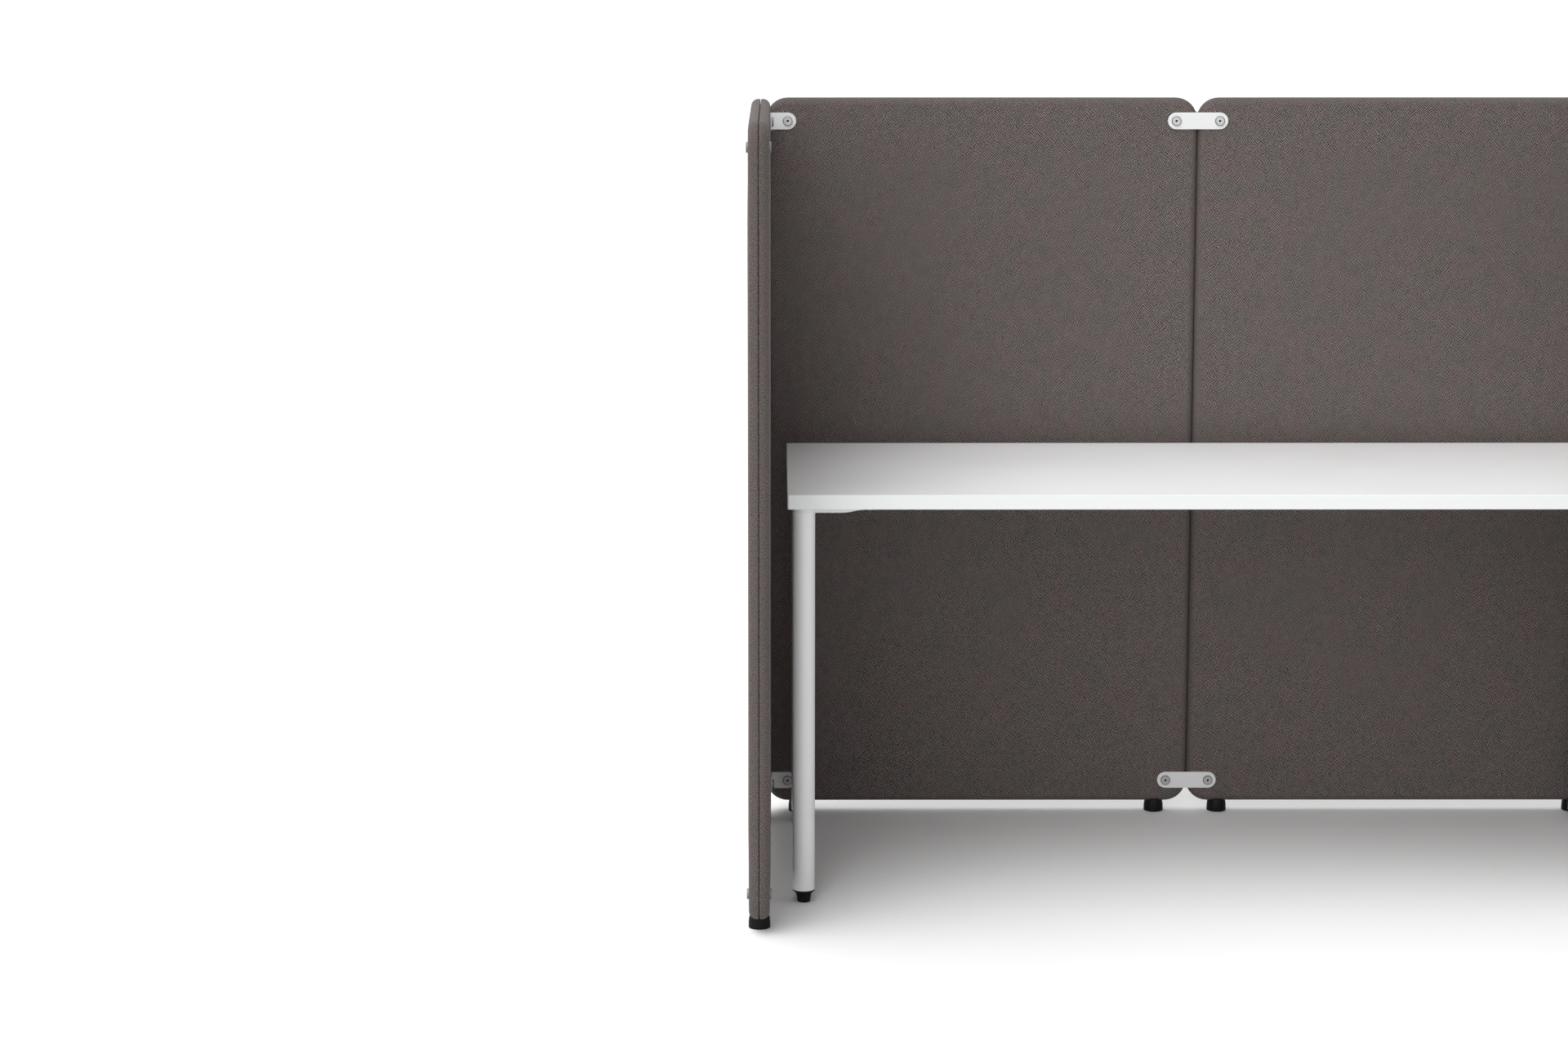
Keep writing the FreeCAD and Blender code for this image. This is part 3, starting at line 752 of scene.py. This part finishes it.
def place_pad(node, turn):
    """A copy of the pad that stands exactly where this solid stands."""
    low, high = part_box(node)
    mesh = pad_mesh.copy()
    mesh.name = node + "_cloth"
    outward = Matrix.Rotation(turn, 4, "Z") @ Vector((0, 1, 0))
    middle = (low + high) / 2
    seam = middle - outward * (PAD_THICKNESS / 2)
    mesh.transform(Matrix.Translation(seam) @ Matrix.Rotation(turn, 4, "Z"))
    for face in mesh.polygons:
        face.use_smooth = True
    obj = bpy.data.objects.new(node + "_cloth", mesh)
    bpy.context.scene.collection.objects.link(obj)
    wear(obj, cloth_material)
    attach(obj, "screens")
    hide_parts(node)
    return obj


pads = [place_pad(node, turn) for node, turn in FACINGS.items()]
print(len(pads), "pads placed")

# %% [markdown]
# ## Screw heads
#
# Every link ends in a flat round head, 18 mm across, with a hexagon socket: on the inside
# of the bay it is a screw's, on the outside a sleeve nut's. The head was turned on a
# lathe, so it is spun here too, from a line of points that runs from the rim to the
# socket. The face keeps a shallow turned groove. Spinning makes the socket round, so its
# points are then pulled onto a hexagon.
#
# The rim and the socket get darker colours than the face: painted shade where the rim turns
# away from the light, and painted shade down in the socket. That lets the eye find both in soft
# light.

# %% Turn one head
# Faces farther out than FLAT_FACE are shaded smooth, and those beyond RIM_START take the
# painted rim shade. Faces nearer than SOCKET_MOUTH and below SOCKET_TOP are inside the
# socket and take the painted socket shade.
FLAT_FACE = 7 * MM
RIM_START = 7.6 * MM
SOCKET_MOUTH = 2.4 * MM
SOCKET_TOP = 3.1 * MM
SOCKET_RADIUS = 2.3 * MM
NEARLY = 0.01 * MM
SIXTH = math.radians(60)

# Painted shade: a dark grey for the rim, where the head's edge turns from the light, and near
# black for the socket.
painted_rim_shade = plated_steel("steel_painted_with_rim_shade", "8C8E90", roughness=0.6, scratch_mm=0.8)
painted_socket_shade = plated_steel("steel_painted_with_socket_shade", "141414", roughness=0.55, scratch_mm=1.0)

# Radius and height of the turned line, in millimetres, from the rim to the socket's floor.
HEAD_LINE = [
    (9.0, 0.0), (9.0, 1.9), (8.75, 2.7), (8.2, 3.2), (7.5, 3.4),
    (6.3, 3.4), (6.1, 3.15), (5.7, 3.15), (5.5, 3.4),
    (2.6, 3.4), (2.3, 3.15), (2.3, 1.4), (0.0, 1.2),
]


def turned_head():
    """A head that stands on z = 0 and looks up."""
    bm = bmesh.new()
    line = [bm.verts.new((radius * MM, 0, height * MM)) for radius, height in HEAD_LINE]
    edges = [bm.edges.new(pair) for pair in zip(line, line[1:])]
    bmesh.ops.spin(bm, geom=line + edges, cent=(0, 0, 0), axis=(0, 0, 1), angle=2 * math.pi,
                   steps=48, use_merge=True)
    bmesh.ops.remove_doubles(bm, verts=bm.verts[:], dist=TINY)
    for vert in bm.verts:
        radius = math.hypot(vert.co.x, vert.co.y)
        if abs(radius - SOCKET_RADIUS) < NEARLY:
            turn = math.atan2(vert.co.y, vert.co.x) % SIXTH
            onto = math.cos(SIXTH / 2) / math.cos(turn - SIXTH / 2)
            vert.co.x *= onto
            vert.co.y *= onto
    bmesh.ops.recalc_face_normals(bm, faces=bm.faces[:])
    for face in bm.faces:
        middle = face.calc_center_median()
        radius = math.hypot(middle.x, middle.y)
        face.smooth = radius > FLAT_FACE
        # Rim and socket faces take the painted shade materials.
        if radius > RIM_START:
            face.material_index = 1
        elif radius < SOCKET_MOUTH and middle.z < SOCKET_TOP:
            face.material_index = 2
    mesh = bpy.data.meshes.new("turned_head")
    bm.to_mesh(mesh)
    bm.free()
    return mesh


head_mesh = turned_head()
print("one head has", len(head_mesh.polygons), "faces")

# %% [markdown]
# ## Put the heads in their places
#
# There are four links in each screen. A head stands on the cloth, or on the plate where
# one lies there. The two back screens carry plates at both ends inside and at the middle
# seam outside, and each wing carries one inside, at its rear end.

# %% Place the heads
PLATE = 3 * MM


def head_places(screen, inner_plates, outer_plates):
    """For each head of a screen: is it outside, where is it, and which way does it look.

    The plates are given for the screen's low end and its high end along its length.
    """
    inner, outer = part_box(screen + "_inner_pad"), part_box(screen + "_outer_pad")
    length = 0 if inner[1].x - inner[0].x > inner[1].y - inner[0].y else 1
    across = 1 - length
    sides = ((inner, outer, inner_plates), (outer, inner, outer_plates))
    for (low, high), other, plates in sides:
        away = 1 if (low + high)[across] > (other[0] + other[1])[across] else -1
        face = high[across] if away > 0 else low[across]
        look = Vector((0, 0, 0))
        look[across] = away
        ends = ((low[length] + LINK_END, plates[0]), (high[length] - LINK_END, plates[1]))
        for place_along, plated in ends:
            for level in (low.z + LINK_EDGE, high.z - LINK_EDGE):
                place = Vector((0, 0, level))
                place[length] = place_along
                place[across] = face + away * (PLATE if plated else 0)
                yield low is outer[0], place, look


def heads(name, node, places):
    """All the heads of one kind as one piece that stands for this solid."""
    bm = bmesh.new()
    for place, look in places:
        mesh = head_mesh.copy()
        turn = look.to_track_quat("Z", "Y").to_matrix().to_4x4()
        mesh.transform(Matrix.Translation(place) @ turn)
        bm.from_mesh(mesh)
        bpy.data.meshes.remove(mesh)
    mesh = bpy.data.meshes.new(name)
    bm.to_mesh(mesh)
    bm.free()
    # The face's steel, then the painted rim shade and the painted socket shade.
    for material in (nickel_steel, painted_rim_shade, painted_socket_shade):
        mesh.materials.append(material)
    obj = bpy.data.objects.new(name, mesh)
    bpy.context.scene.collection.objects.link(obj)
    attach(obj, "screens")
    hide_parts(node)
    return obj


SCREEN_PLATES = {
    "back_left": ((True, True), (False, True)),
    "back_right": ((True, True), (True, False)),
    "wing_left": ((False, True), (False, False)),
    "wing_right": ((False, True), (False, False)),
}
found = []
for screen, (inner_plates, outer_plates) in SCREEN_PLATES.items():
    found.extend(head_places(screen, inner_plates, outer_plates))
inner_places = [(place, look) for outside, place, look in found if not outside]
outer_places = [(place, look) for outside, place, look in found if outside]
heads("link_screw_heads", "link_screws", inner_places)
heads("sleeve_nut_heads", "sleeve_nuts", outer_places)
print(len(inner_places), "screw heads and", len(outer_places), "nut heads placed")
